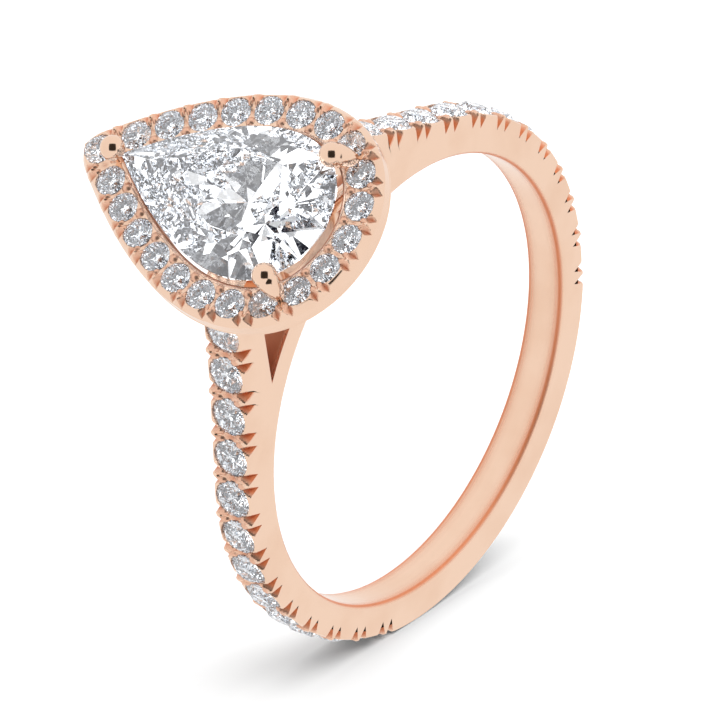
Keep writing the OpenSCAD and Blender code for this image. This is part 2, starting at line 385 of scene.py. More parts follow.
def ramp(x, low, high):
    """Smooth step from 0 at low to 1 at high."""
    t = np.clip((x - low) / (high - low), 0, 1)
    return t * t * (3 - 2 * t)


NOTCH_AT = 0.27  # a notch's distance from the gap's middle
NOTCH_START = 0.46  # where its bottom leaves the surface, across the row
NOTCH_REACH = 0.6  # no notch is wider than this, from the gap's middle
NOTCH_TOP = -0.10


def row_relief(near, gap, v, stone_r, half, cut, wall, plain=0.0, beads=None):
    """Height of the metal in mm and how deep it lies, in proportion to the stone's radius.
    near is the distance along the row from the nearest stone, gap from the nearest gap, v across the row.
    plain is the height of the surface before cutting. The cone of a seat lies inside each stone's circle.
    Between two stones the metal falls away, and a web stands at each side of the row with two rounded
    tips that reach over the stones. Two V notches free the web: their bottoms run from the surface
    down to the height cut at the row's edge, and wall is the slope of their walls.
    beads marks a side with one round bead at each gap instead."""
    k = stone_r / ROW_STONE_R
    near, gap, side = near / k, np.abs(gap) / k, np.abs(v) / k
    from_stone = np.hypot(near, side)
    ledge = LEDGE_TOP - LEDGE_DIP * tent(side, 0.60) * tent(gap, 0.55)
    seat = SEAT_TOP - SEAT_SLOPE * (ROW_STONE_R - from_stone)
    web = WEB_TOP - WEB_FALL * np.clip(gap - 0.02, 0, None) ** 2 - 0.6 * np.clip(0.52 - side, 0, None)
    web = web - WEB_CREASE * tent(gap, 0.07) * (1 - ramp(side, 0.50, 0.68))
    tips = bead(-0.16, 0.14, (gap - 0.16) / 0.14, (side - 0.50) / 0.26)
    round_bead = bead(-0.22, 0.25, gap / 0.27, (side - 0.56) / 0.27)
    metal = np.where(from_stone < ROW_STONE_R, seat, ledge)
    raised = np.maximum(metal, np.maximum(np.where(gap < NOTCH_AT, web, NOTHING), tips)) * k + plain
    bottom = NOTCH_TOP + (cut - NOTCH_TOP) * (side * k - NOTCH_START * k) / (half - NOTCH_START * k)
    notch = np.where(side > NOTCH_START, bottom + wall * np.abs(gap - NOTCH_AT) * k, 1.0)
    in_notch = (gap < NOTCH_REACH) & (notch < raised)
    height = np.where(in_notch, notch, raised)
    # painted copper shade: the depths below colour the notches, the low seats and the prongs copper, and make
    # them rougher
    notch_depth = in_notch * (0.25 + 0.75 * ramp(raised - notch, 0.0, 0.20))
    depth = np.maximum(ramp(plain - height, 0.10, 0.28), notch_depth)
    depth = np.maximum(depth, PRONG_DEPTH * (tips > metal))
    if beads is None:
        return height, depth
    beaded = np.maximum(metal, round_bead) * k + plain
    # painted copper shade on the beads and the seats round them
    bead_depth = np.maximum(ramp(plain - beaded, 0.10, 0.24), PRONG_DEPTH * (round_bead > metal))
    return np.where(beads, beaded, height), np.where(beads, bead_depth, depth)


def row_steps(stones, k):
    """Distances along a row: fine and aligned to the notches near each gap, even over the stones."""
    middle = (stones[1:] + stones[:-1])[:, None] / 2
    reach = (stones[1:] - stones[:-1])[:, None] / 2
    fine = [0, 0.03, 0.06, 0.10, 0.14, 0.18, 0.22, NOTCH_AT, 0.30, 0.34, 0.38, 0.415, 0.45, 0.50]
    fine = np.array(fine) * k
    even = fine[-1] + (reach - fine[-1]) * np.linspace(0, 1, 8)[None, 1:]
    offset = np.concatenate([np.broadcast_to(fine, (len(middle), len(fine))), even], 1)
    return np.unique(np.round(np.concatenate([middle - offset, middle + offset], 1).ravel(), 5))


# %% [markdown]
# ## The shank
# The shank is one casting. Three closed strips make it: the band from one window foot round the
# bottom, the two rails that rise to the halo, and the plain rail under the head. A strip is a
# section carried along the shoulder line, so its sides are truly flat, as a polished ring's are.
# The strips end on the same points, and welding them leaves one closed skin.

# %% Shank
SHOULDER_STONE_D = 1.42
SHOULDER_FIRST, SHOULDER_PITCH, SHOULDER_COUNT = 1.7, 1.69, 12
HALF_W = BAND_W / 2
EDGE = 0.2  # rounding where the finger hole meets the sides
TOP_COLS, SIDE_ROWS, RAIL_ROWS = 46, 7, 5
EDGE_COLS, WALL_COLS, INSIDE_COLS = 7, 5, 9
TABLE_PROUD = 0.08  # how far a stone's table stands above the metal
SHADED_WALL_DEPTH = 0.75  # depth for the walls under the head that a polishing wheel can't reach: rougher metal and painted copper shade


def shoulder_relief(s, v):
    """The stone row's relief over the shoulder's outer face, fading to plain metal past the last stone."""
    nearest = np.clip(np.round((s - SHOULDER_FIRST) / SHOULDER_PITCH), 0, SHOULDER_COUNT - 1)
    near = s - SHOULDER_FIRST - nearest * SHOULDER_PITCH
    gap = (s - SHOULDER_FIRST) / SHOULDER_PITCH - 0.5
    gap = (gap - np.round(gap)) * SHOULDER_PITCH
    last = SHOULDER_FIRST + (SHOULDER_COUNT - 0.5) * SHOULDER_PITCH
    kept = 1 - ramp(s, last + 0.30, last + 0.50)
    worn = -0.04 * ramp(np.abs(v), HALF_W - 0.07, HALF_W)
    height, depth = row_relief(near, gap, v, SHOULDER_STONE_D / 2, HALF_W, cut=-0.55, wall=2.3)
    return kept * height + worn, kept * depth


def across(n):
    """Places across the band, from -Y to +Y, closer together at the edges."""
    t = np.linspace(-1, 1, n)
    return HALF_W * np.sign(t) * (1 - (1 - np.abs(t)) ** 1.2)


def strip_top(s, side):
    """The outer face as a grid: the shoulder line, moved out by the relief."""
    place, out = shoulder_at(s)
    v = across(TOP_COLS)
    high = shoulder_relief(s[:, None], v[None, :])[0]
    xz = place[:, None, :] + out[:, None, :] * high[..., None]
    return np.stack([side * xz[..., 0], np.broadcast_to(v, high.shape), xz[..., 1]], -1)


def between(a, b, n):
    """n rows from grid line a towards b, without either end."""
    t = (np.arange(n) + 1)[None, :, None] / (n + 1)
    return a[:, None, :] * (1 - t) + b[:, None, :] * t


def polar(angle, radius, y, side):
    """Points by their angle from +Z towards the side, their distance from the finger axis, and y."""
    angle, radius, y = np.broadcast_arrays(angle, radius, y)
    return np.stack([side * radius * np.sin(angle), y, radius * np.cos(angle)], -1)


def bore_part(angle, side):
    """The finger hole's wall from +Y to -Y, with a quarter round at each edge."""
    turn = np.linspace(0, np.pi / 2, EDGE_COLS)
    y_edge = HALF_W - EDGE * (1 - np.cos(turn))
    r_edge = FINGER_R + EDGE * (1 - np.sin(turn))
    y_wall = np.linspace(HALF_W - EDGE, EDGE - HALF_W, WALL_COLS + 2)[1:-1]
    y = np.concatenate([y_edge, y_wall, -y_edge[::-1]])
    r = np.concatenate([r_edge, np.full(WALL_COLS, FINGER_R), r_edge[::-1]])
    return polar(angle[:, None], r[None, :], y[None, :], side)


def band_strip(s, side):
    """Outer face, side down to the plain rail's circle, on to the finger hole, its wall, and back up."""
    top = strip_top(s, side)
    place = shoulder_at(s)[0]
    angle = np.arctan2(np.abs(place[:, 0]), place[:, 1])
    bore = bore_part(angle, side)
    loops = [top]
    for end, y in ((top[:, -1], HALF_W), (top[:, 0], -HALF_W)):
        mid = polar(angle, RAIL_R, y, side)
        low = bore[:, 0] if y > 0 else bore[:, -1]
        rows = np.concatenate([between(end, mid, SIDE_ROWS), mid[:, None], between(mid, low, RAIL_ROWS)], 1)
        loops.append(rows if y > 0 else rows[:, ::-1])
    return np.concatenate([loops[0], loops[1], bore, loops[2]], 1)


def outer_depth(s, strip):
    """Depths for a strip: the relief's own on the outer face, and 0 on the rest."""
    depth = np.zeros(strip.shape[:2])
    depth[:, :TOP_COLS] = shoulder_relief(s[:, None], across(TOP_COLS)[None])[1]
    return depth


def band_depth(s, strip):
    """The finger hole's rounded edges get a painted reflection, a copper line where gold would mirror gold,
    and a rougher finish.
    """
    depth = outer_depth(s, strip)
    bore_at = TOP_COLS + SIDE_ROWS + 1 + RAIL_ROWS
    # painted reflection: how much copper each column of the finger hole's rounded edges gets
    edge = np.array([0.0, 0.0, 0.1, 0.6, 0.9, 0.9, 0.5, 0.12, 0.03])
    tint = np.concatenate([edge, edge[-1:], edge[::-1]])
    depth[:, bore_at : bore_at + len(tint)] = tint
    return depth.ravel()


def rail_strip(s, side):
    """Outer face, side, inner face towards the window, and back up."""
    top = strip_top(s, side)
    share = (s / S_WINDOW)[:, None]
    foot = RAIL_R * np.array([np.sin(WINDOW_ANGLE), np.cos(WINDOW_ANGLE)])
    inner = INNER_TOP * (1 - share) + foot * share
    y = np.linspace(HALF_W, -HALF_W, INSIDE_COLS)[None, :]
    inside = np.stack(np.broadcast_arrays(side * inner[:, :1], y, inner[:, 1:]), -1)
    down = between(top[:, -1], inside[:, 0], SIDE_ROWS)
    up = between(inside[:, -1], top[:, 0], SIDE_ROWS)
    return np.concatenate([top, down, inside, up], 1)


def plain_rail(n):
    """The rail under the head: its outer face, its sides and the finger hole's wall."""
    angle = np.linspace(-WINDOW_ANGLE, WINDOW_ANGLE, n)
    y = np.linspace(-HALF_W, HALF_W, INSIDE_COLS)
    outer = polar(angle[:, None], RAIL_R, y[None, :], 1)
    bore = bore_part(angle, 1)
    down = between(outer[:, -1], bore[:, 0], RAIL_ROWS)
    up = between(bore[:, -1], outer[:, 0], RAIL_ROWS)
    return np.concatenate([outer, down, bore, up], 1)


S_LAST = SHOULDER_FIRST + (SHOULDER_COUNT + 0.1) * SHOULDER_PITCH
shoulder_stones = SHOULDER_FIRST + np.arange(-1, SHOULDER_COUNT + 1) * SHOULDER_PITCH
shoulder_steps = row_steps(shoulder_stones, 1)
PLAIN_ROWS = 60


def steps_between(low, high):
    """The row's own steps from low to high, with those too close to either end left out."""
    inside = shoulder_steps[(shoulder_steps > low + 0.004) & (shoulder_steps < high - 0.004)]
    return np.concatenate([[low], inside, [high]])


def rail_depth(s, strip):
    """A rail has the window's wall on its inside: rough, and with painted copper shade."""
    depth = outer_depth(s, strip)
    depth[:, TOP_COLS + SIDE_ROWS + 1 : -SIDE_ROWS - 1] = SHADED_WALL_DEPTH
    return depth.ravel()


def shank_half(side, first):
    """Points, depths and faces of one half: its band strip, its rail strip and the rail's hidden top."""
    s_plain = np.linspace(S_LAST, S_BOTTOM, PLAIN_ROWS)[1:]
    s_band = np.concatenate([steps_between(S_WINDOW, S_LAST), s_plain])
    s_rail = steps_between(0, S_WINDOW)
    band, rail = band_strip(s_band, side), rail_strip(s_rail, side)
    depth = [band_depth(s_band, band), rail_depth(s_rail, rail)]
    points = np.concatenate([band.reshape(-1, 3), rail.reshape(-1, 3)])
    faces = list(grid_faces(*band.shape[:2], first))
    at = first + band.shape[0] * band.shape[1]
    faces += list(grid_faces(*rail.shape[:2], at))
    faces.append(np.arange(rail.shape[1]) + at)
    return points, np.concatenate(depth), faces


def make_shank():
    left, left_depth, left_faces = shank_half(-1, 0)
    right, right_depth, right_faces = shank_half(1, len(left))
    rail = plain_rail(90)
    rail_inside = np.zeros(rail.shape[:2])
    # painted copper shade on the plain rail's outer face, which lies hidden under the head
    rail_inside[:, 1 : INSIDE_COLS - 1] = SHADED_WALL_DEPTH
    rail_faces = list(grid_faces(*rail.shape[:2], len(left) + len(right)))
    points = np.concatenate([left, right, rail.reshape(-1, 3)])
    depth = np.concatenate([left_depth, right_depth, rail_inside.ravel()])
    faces = left_faces + right_faces + rail_faces
    return make_piece("shank", points, faces, polished, ["shank"], depth=depth)


shank = make_shank()
print("shank:", len(shank.data.polygons), "faces")

# %% [markdown]
# ## The halo frame
# The halo is a pear-shaped wall with a bevel above it, and its stones sit along the pear line.
# The same relief cuts its outer edge. Its inner edge, beside the centre stone, has small round
# beads instead. The section is carried round the pear line, and at the tip its outward direction
# swings smoothly from one side to the other.

# %% Pear line
HEAD_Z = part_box("halo_stone_01")[1].z / MM
PEAR_W, PEAR_L, PEAR_Y = 4.75, 5.435, 1.355
HALO_COUNT, TIP_GAP, HALO_STONE_D = 22, 1.46, 1.1


def pear(u):
    """x is w sin(u) sin(u / 2) and y is l cos(u): a pear with its tip at u = 0."""
    return np.stack([-PEAR_W * np.sin(u) * np.sin(u / 2), PEAR_Y + PEAR_L * np.cos(u)], -1)


pear_u = np.linspace(0, 2 * np.pi, 8001)
pear_pts = pear(pear_u)
pear_run = running(pear_pts)
HALF_RUN = pear_run[-1] / 2
side_pitch = (HALF_RUN - TIP_GAP) / (HALO_COUNT / 2 - 1)


def halo_stone_s(i):
    """Distance of stone i along the pear line: the first gap at the tip is wider than the rest."""
    m = np.where(i <= HALO_COUNT // 2, i, HALO_COUNT - i)
    s = np.where(m == 0, 0, TIP_GAP + (m - 1) * side_pitch)
    return np.where(i <= HALO_COUNT // 2, s, 2 * HALF_RUN - s)


def pear_at(s):
    """Place and outward direction on the pear line. Near the tip the direction turns evenly through +Y."""
    place = np.stack([np.interp(s, pear_run, pear_pts[:, k]) for k in (0, 1)], -1)
    u = np.clip(np.interp(s, pear_run, pear_u), 0.02, 2 * np.pi - 0.02)
    along = pear(u + 0.01) - pear(u - 0.01)
    out = np.stack([along[:, 1], -along[:, 0]], -1)
    out *= np.where((out * (place - [0, 0.5])).sum(1) < 0, -1, 1)[:, None]
    out /= np.linalg.norm(out, axis=1, keepdims=True)
    from_tip = np.minimum(s, 2 * HALF_RUN - s)
    swing = (1 - ramp(from_tip, 0.0, 0.35))[:, None]
    out = out * (1 - swing) + np.array([0.0, 1.0]) * swing
    return place, out / np.linalg.norm(out, axis=1, keepdims=True)


def held_apart(s, x):
    """x stopped at 0 on either side of the pear, because inside the tip the two sides would cross."""
    side = np.where(s < HALF_RUN, -1.0, 1.0)[:, None]
    return side * np.clip(side * x, 0, None)


stone_s = halo_stone_s(np.arange(HALO_COUNT))
gap_s = (stone_s + np.append(stone_s[1:], 2 * HALF_RUN)) / 2
print("pear line %.2f mm round, stones %.2f mm apart" % (2 * HALF_RUN, side_pitch))

# %% [markdown]
# ## The halo frame
# On the real ring the frame is cast, and its small stones are set before the large one. It could be
# a plate with holes cut by booleans, but each boolean leaves slivers that polished metal shows. So
# it is one section carried round the pear line, and the section's top is the stone row's relief.

# %% Halo frame
HALO_HALF, HALO_TOP_HALF = 0.76, 0.62
HALO_WALL, HALO_BEVEL = 0.57, 0.38
BEVEL_FROM, BEVEL_CURVE = 0.57, 1.3
HALO_COLS = 58
INNER_SINK = 0.12  # the top falls by this towards the centre stone
# painted copper shade on the top's inner edge and on the inner wall, beside the centre stone; they are also
# rougher
INNER_TOP_DEPTH, INNER_WALL_DEPTH = 0.8, 0.6
FOOT_BEAD = 0.012  # a fine raised line runs round the wall's foot
HALO_INNER_HALF = 0.73  # the frame closes on the centre stone, which sits 0.79 inside the pear line


def nearest_gap(s, places):
    """Signed distance to the nearest of the places on the closed line."""
    away = s[:, None] - places[None, :]
    away = (away + HALF_RUN) % (2 * HALF_RUN) - HALF_RUN
    return away[np.arange(len(s)), np.abs(away).argmin(1)]


def halo_top(s):
    """Offsets across the frame's top, its height there and its depth: flat, then a bevel down to the rim."""
    near, gap = nearest_gap(s, stone_s)[:, None], nearest_gap(s, gap_s)[:, None]
    v = np.linspace(-HALO_INNER_HALF, HALO_HALF, HALO_COLS)[None, :]
    drop = HALO_BEVEL - TABLE_PROUD
    plain = -drop * np.clip((v - BEVEL_FROM) / (HALO_HALF - BEVEL_FROM), 0, 1) ** BEVEL_CURVE
    plain = plain - INNER_SINK * ramp(-v, HALO_TOP_HALF - 0.08, HALO_INNER_HALF)
    height, depth = row_relief(
        near, gap, v, HALO_STONE_D / 2, HALO_HALF, cut=-drop - 0.03, wall=1.1, plain=plain, beads=v < 0
    )
    # painted shade: copper towards the centre stone
    inner_depth = INNER_TOP_DEPTH * ramp(-v, HALO_TOP_HALF - 0.02, HALO_INNER_HALF)
    return np.broadcast_to(v, height.shape), height, np.maximum(depth, inner_depth)


def halo_section(s):
    """(offset, height) round the section at each s: top, rim, wall, foot, inner wall. Also its depths."""
    offset, height, top_depth = halo_top(s)
    low = -HALO_BEVEL - HALO_WALL
    rim = np.array([[0.0, -HALO_BEVEL - 0.25]])
    wall = np.array([[0.0, low + 0.08], [FOOT_BEAD, low + 0.06], [FOOT_BEAD, low + 0.02], [-0.02, low]])
    inner = np.array([[0.03, low], [0, low + 0.03], [0, -0.8], [0, -0.6], [0, -0.45]])
    fixed = np.concatenate([rim + [HALO_HALF, 0], wall + [HALO_HALF, 0], inner - [HALO_INNER_HALF, 0]])
    rest = np.broadcast_to(fixed, (len(s), *fixed.shape))
    depth = np.zeros((len(s), offset.shape[1] + len(fixed)))
    depth[:, : offset.shape[1]] = top_depth
    depth[:, -len(inner) :] = INNER_WALL_DEPTH
    return np.concatenate([np.stack([offset, height - TABLE_PROUD], -1), rest], 1), depth


def make_halo():
    s = row_steps(np.append(stone_s, 2 * HALF_RUN), HALO_STONE_D / SHOULDER_STONE_D)
    place, out = pear_at(s)
    section, depth = halo_section(s)
    xy = place[:, None, :] + out[:, None, :] * section[..., :1]
    x = held_apart(s, xy[..., 0])
    points = np.stack([x, xy[..., 1], HEAD_Z + section[..., 1]], -1).reshape(-1, 3)
    faces = off_mirror(points, grid_faces(*x.shape))
    return make_piece(
        "halo_frame", points, faces, bright_cut, ["halo_frame"], smooth=20, depth=depth
    )


halo = make_halo()
print("halo frame:", len(halo.data.polygons), "faces")

# %% [markdown]
# ## Round brilliants
# A round brilliant has a flat table, eight stars, eight kites and sixteen upper halves on its crown,
# and eight mains and sixteen lower halves below. The same plan cuts the pear: each corner keeps its
# share of the way from the middle to the outline, and only the outline changes.

# %% Brilliant cut


def plane_height(corners, xy):
    """Height over xy of the plane through three corners."""
    a, b, c = corners
    normal = np.cross(b - a, c - a)
    return a[2] - ((xy - a[:2]) @ normal[:2]) / normal[2]


def brilliant(outline, middle, folds, table, crown, girdle, pavilion, lower=0.78, star=0.55, fine=4):
    """Points, depths and faces of a brilliant with its girdle's top at height 0.
    outline(t) gives the girdle at turns t from 0 to 1. A corner at share f is middle + f (outline - middle).
    folds is the number of kites. The girdle has 2 x folds x fine points, and each is set at the height
    where its flat facet meets the outline, so that every facet is a true plane."""
    k = np.arange(folds)
    n = 2 * folds * fine
    ring = outline(np.arange(n) / n)
    kite_at, star_at = k * 2 * fine, (k * 2 + 1) * fine

    def lift(xy, share, z):
        return np.column_stack([middle + share * (xy - middle), np.full(len(xy), z)])

    tables = lift(ring[kite_at], table, crown)
    stars = lift(ring[star_at], table + (1 - table) * 0.5, crown * (1 - star))
    lowers = lift(ring[star_at], 1 - lower, -girdle - pavilion * lower)
    top, base = lift(ring, 1, 0.0), lift(ring, 1, -girdle)
    after = (k + 1) % folds
    halves = []
    for i, j in zip(k, after):
        for a, b in ((kite_at[i], star_at[i]), (star_at[i], kite_at[i] + 2 * fine)):
            run = np.arange(a, b + 1) % n
            halves.append((i, run))
            inner = run[1:-1]
            top[inner, 2] = plane_height((stars[i], top[run[0]], top[run[-1]]), ring[inner])
            base[inner, 2] = plane_height((lowers[i], base[run[0]], base[run[-1]]), ring[inner])
    parts = [tables, stars, top, base, lowers, lift(middle[None], 0, -girdle - pavilion)]
    T, S, G, B, L, C = np.concatenate([[0], np.cumsum([len(p) for p in parts])])[:6]
    faces = [tuple(T + k)]
    for i, j in zip(k, after):
        faces.append((T + i, S + i, T + j))
        faces.append((T + j, S + i, G + kite_at[j], S + j))
        faces.append((L + i, B + kite_at[j], L + j, C))
    for i, run in halves:
        faces.append((S + i, *(G + run)))
        faces.append((L + i, *(B + run[::-1])))
        faces += [(G + a, B + a, B + b, G + b) for a, b in zip(run[:-1], run[1:])]
    depth = np.repeat([0, 0, 0, 1, 1, 1], [len(p) for p in parts])
    return np.concatenate(parts), depth, faces


def round_outline(radius):
    """A circle's outline, by turns."""
    return lambda t: radius * np.column_stack([np.cos(2 * np.pi * t), np.sin(2 * np.pi * t)])


def small_stone(diameter):
    """A round brilliant with its table at height 0."""
    crown = 0.16 * diameter
    points, depth, faces = brilliant(
        round_outline(diameter / 2), np.zeros(2), 8, 0.57, crown, 0.04 * diameter, 0.43 * diameter, fine=2
    )
    return points - [0, 0, crown], depth, faces


def set_stone(name, diameter, place, up, turn):
    """Stands a small stone's table at place, with its axis along up and its facets turned by turn."""
    points, depth, faces = small_stone(diameter)
    up = np.asarray(up, float)
    first = np.cross([0.0, 1.0, 0.0], up)
    first /= np.linalg.norm(first)
    second = np.cross(up, first)
    c, s = np.cos(turn), np.sin(turn)
    x = c * points[:, :1] - s * points[:, 1:2]
    y = s * points[:, :1] + c * points[:, 1:2]
    world = np.asarray(place) + x * first + y * second + points[:, 2:] * up
    return make_piece(name, world, faces, small_diamond, [name], smooth=None, depth=depth)


GOLDEN_ANGLE = np.radians(137.5)
LEAN = 0.03  # no setter gets two stones quite level


def leaned(up, i):
    """The stone's axis, leaned a little its own way."""
    up = np.asarray(up, float) + LEAN * np.array([np.cos(i * GOLDEN_ANGLE), np.sin(i * GOLDEN_ANGLE), 0])
    return up / np.linalg.norm(up)


# %% [markdown]
# ## Setting the small stones
# All the small stones have the same cut, so one function makes them. Each is leaned and turned by
# its own small amount, because stones set exactly alike would all flash at once.

# %% Halo stones
for i in range(HALO_COUNT):
    (x, y), = pear_at(stone_s[i : i + 1])[0]
    up = leaned((0, 0, 1), i)
    set_stone("halo_stone_%02d" % (i + 1), HALO_STONE_D, (x, y, HEAD_Z), up, i * GOLDEN_ANGLE)
print("halo stones set:", HALO_COUNT)

# %% Shoulder stones
for side, word in ((-1, "left"), (1, "right")):
    for i in range(SHOULDER_COUNT):
        (place,), (out,) = shoulder_at(np.array([SHOULDER_FIRST + i * SHOULDER_PITCH]))
        x, z = place + out * TABLE_PROUD
        up = leaned((side * out[0], 0, out[1]), i + 7 * side)
        name = "shoulder_stone_%s_%02d" % (word, i + 1)
        set_stone(name, SHOULDER_STONE_D, (side * x, 0, z), up, i * GOLDEN_ANGLE)
print("shoulder stones set:", 2 * SHOULDER_COUNT)

# %% [markdown]
# ## The centre stone
# The pear diamond's outline is the halo's pear line, brought in by its inset. Its facets meet under
# the widest part and not in the outline's middle, so those towards the tip are long and thin.

# %% Centre stone
CENTRE_INSET, CENTRE_LIFT = 0.79, 0.06
CENTRE_GIRDLE, CENTRE_CROWN, CENTRE_PAVILION = 0.16, 0.82, 2.45
FACET_MIDDLE = np.array([0.0, 0.15])


def centre_outline(t):
    """The inset pear line, starting at the tip. t counts half by angle and half by length."""
    s = np.linspace(0, 2 * HALF_RUN, 4001)
    place, out = pear_at(s)
    edge = place - CENTRE_INSET * out
    keep = np.where(s < HALF_RUN, -edge[:, 0], edge[:, 0]) > 0.02
    edge = edge[keep]
    tip = np.array([[0.0, edge[0, 1] + 0.03]])
    edge = np.concatenate([tip, edge, tip])
    angle = np.unwrap(np.arctan2(edge[:, 1] - FACET_MIDDLE[1], edge[:, 0]))
    turns = (angle - angle[0]) / (2 * np.pi)
    length = running(edge) / running(edge)[-1]
    share = 0.5 * np.abs(turns) + 0.5 * length
    return np.column_stack([np.interp(t, share, edge[:, k]) for k in (0, 1)])


def make_centre():
    heights = CENTRE_CROWN, CENTRE_GIRDLE, CENTRE_PAVILION
    points, depth, faces = brilliant(centre_outline, FACET_MIDDLE, 8, 0.56, *heights, lower=0.72, fine=6)
    points = points + [0, 0, HEAD_Z + CENTRE_LIFT + CENTRE_GIRDLE]
    return make_piece(
        "centre_stone", points, faces, centre_diamond, ["centre_stone"],
        smooth=None, depth=depth,
    )


centre = make_centre()
print("centre stone:", len(centre.data.polygons), "facets")

# %% [markdown]
# ## Claws
# Each claw is a round wire that rises from the basket ring, leans outwards, bends in over the
# stone's edge and ends in a polished ball. Joining a ball to a wire would leave a crease, so one
# circle is carried along a short path, and its radius grows and shrinks into the ball.

# %% Claws
BALL_R, NECK_R, KNEE_R, WIRE_R = 0.45, 0.41, 0.20, 0.36
KNEE_INSET, KNEE_Z = 0.12, 13.55
KNEE_AT = 0.75  # the knee's share of the way from foot to ball
BASKET_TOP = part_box("basket_ring")[1].z / MM


def tube(path, radius, cols=40):
    """A circle carried along the path, its radius given at each point, in the plane across the path."""
    along = np.gradient(path, axis=0)
    along /= np.linalg.norm(along, axis=1, keepdims=True)
    first = np.cross(along, [0.0, 1.0, 0.1])
    first /= np.linalg.norm(first, axis=1, keepdims=True)
    second = np.cross(along, first)
    turn = np.linspace(0, 2 * np.pi, cols, endpoint=False)
    ring = first[:, None] * np.cos(turn)[None, :, None] + second[:, None] * np.sin(turn)[None, :, None]
    return path[:, None, :] + ring * radius[:, None, None]


def claw_surface(foot, knee, head):
    """The wire thins towards the knee between two halo stones, then swells into the ball as it bends inwards.
    Its line is the parabola through the three points, and the ball's radius is that of a circle's chord."""
    t = np.linspace(0, 1, 60)[:, None]
    pull = (knee - (1 - KNEE_AT) ** 2 * foot - KNEE_AT**2 * head) / (2 * KNEE_AT * (1 - KNEE_AT))
    wire = (1 - t) ** 2 * foot + 2 * t * (1 - t) * pull + t**2 * head
    aim = wire[-1] - wire[-2]
    aim /= np.linalg.norm(aim)
    run = running(wire)
    neck = np.sqrt(BALL_R**2 - NECK_R**2)
    kept = run < run[-1] - neck
    radii = [WIRE_R, KNEE_R, KNEE_R * 1.2, NECK_R, BALL_R]
    thick = np.interp(t[kept, 0], [0, 0.6, KNEE_AT, 0.92, 1], radii)
    turn = np.linspace(-np.arcsin(neck / BALL_R), np.pi / 2, 28)
    ball = head + aim * BALL_R * np.sin(turn)[:, None]
    radius = np.concatenate([thick, BALL_R * np.cos(turn)])
    return tube(np.concatenate([wire[kept], ball]), np.maximum(radius, 1e-3))


def make_claw(name, foot, knee, head):
    surface = claw_surface(np.array(foot), np.array(knee), np.array(head))
    rows, cols = surface.shape[:2]
    faces = list(grid_faces(rows, cols)) + [np.arange(cols), np.arange(cols) + (rows - 1) * cols]
    return make_piece(name, surface.reshape(-1, 3), faces, polished, [name], smooth=40)


ball_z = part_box("claw_tip")[1].z / MM - BALL_R
KNEE_GAP = 8  # the side claws come up between the ninth and the tenth stone from the tip
(gap_place,), (gap_out,) = pear_at(gap_s[KNEE_GAP : KNEE_GAP + 1])
knee_x, knee_y = gap_place - KNEE_INSET * gap_out
make_claw("claw_tip", (0, 4.18, BASKET_TOP), (0, 5.86, KNEE_Z), (0, 5.78, ball_z))
make_claw("claw_left", (-1.42, -0.75, BASKET_TOP), (knee_x, knee_y, KNEE_Z), (-2.42, -2.34, ball_z))
make_claw("claw_right", (1.42, -0.75, BASKET_TOP), (-knee_x, knee_y, KNEE_Z), (2.42, -2.34, ball_z))
print("claws stand on %.2f mm and their balls are at %.2f mm" % (BASKET_TOP, ball_z))

# %% [markdown]
# ## The basket ring and its bridge
# A small ring under the large stone ties the claws together, and a bridge ties it to the finger
# rail. No polishing wheel reaches them, so they keep the skin of the mould. The ring is a rounded
# square carried round a smaller pear. The bridge is hardly seen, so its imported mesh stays.

# %% Basket ring and bridge
BASKET_SCALE, BASKET_HALF = 0.52, 0.4


def make_basket():
    """A section with rounded corners, carried round the pear line scaled about its middle."""
    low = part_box("basket_ring")[0].z / MM
    half_h = (BASKET_TOP - low) / 2
    turn = np.linspace(0, 2 * np.pi, 28, endpoint=False)
    squared = np.stack([np.cos(turn), np.sin(turn)], -1)
    squared = np.sign(squared) * np.abs(squared) ** 0.5
    s = np.linspace(0, 2 * HALF_RUN, 260)
    place, out = pear_at(s)
    centre_line = np.array([0, PEAR_Y]) + BASKET_SCALE * (place - [0, PEAR_Y])
    xy = centre_line[:, None, :] + out[:, None, :] * (squared[:, :1] * BASKET_HALF)[None]
    x = held_apart(s, xy[..., 0])
    z = np.broadcast_to(low + half_h + half_h * squared[:, 1], x.shape)
    points = np.stack([x, xy[..., 1], z], -1).reshape(-1, 3)
    faces = off_mirror(points, grid_faces(*x.shape))
    return make_piece("basket_ring", points, faces, cast, ["basket_ring"])


basket = make_basket()
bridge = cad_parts["basket_bridge"]
bridge.data.materials.clear()
bridge.data.materials.append(cast)
print("basket ring:", len(basket.data.polygons), "faces")

# %% [markdown]
# ## The floor
# The ring rests on its band, rolled to one side, on a white sweep. The floor is a plane that touches
# the band at its lowest point. It gives off a little light of its own, so that it burns out to white
# as a studio sweep does and keeps only a soft shadow.

# %% Floor
FLOOR_UP = Vector((0.644, 0, 0.765)).normalized()
FLOOR_HALF = 3.0


def make_floor():
    """A plane across FLOOR_UP, touching the lowest point of the ring in that direction."""
    shank_points = np.array([v.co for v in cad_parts["shank"].data.vertices])
    height = float((shank_points @ np.array(FLOOR_UP)).min())
    aside = FLOOR_UP.orthogonal().normalized()
    other = FLOOR_UP.cross(aside)
    signs = ((-1, -1), (1, -1), (1, 1), (-1, 1))
    corners = [FLOOR_UP * height + aside * a * FLOOR_HALF + other * b * FLOOR_HALF for a, b in signs]
    mesh = bpy.data.meshes.new("floor")
    mesh.from_pydata(corners, [], [(0, 1, 2, 3)])
    floor = bpy.data.objects.new("floor", mesh)
    bpy.context.scene.collection.objects.link(floor)
    floor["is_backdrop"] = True
    return floor


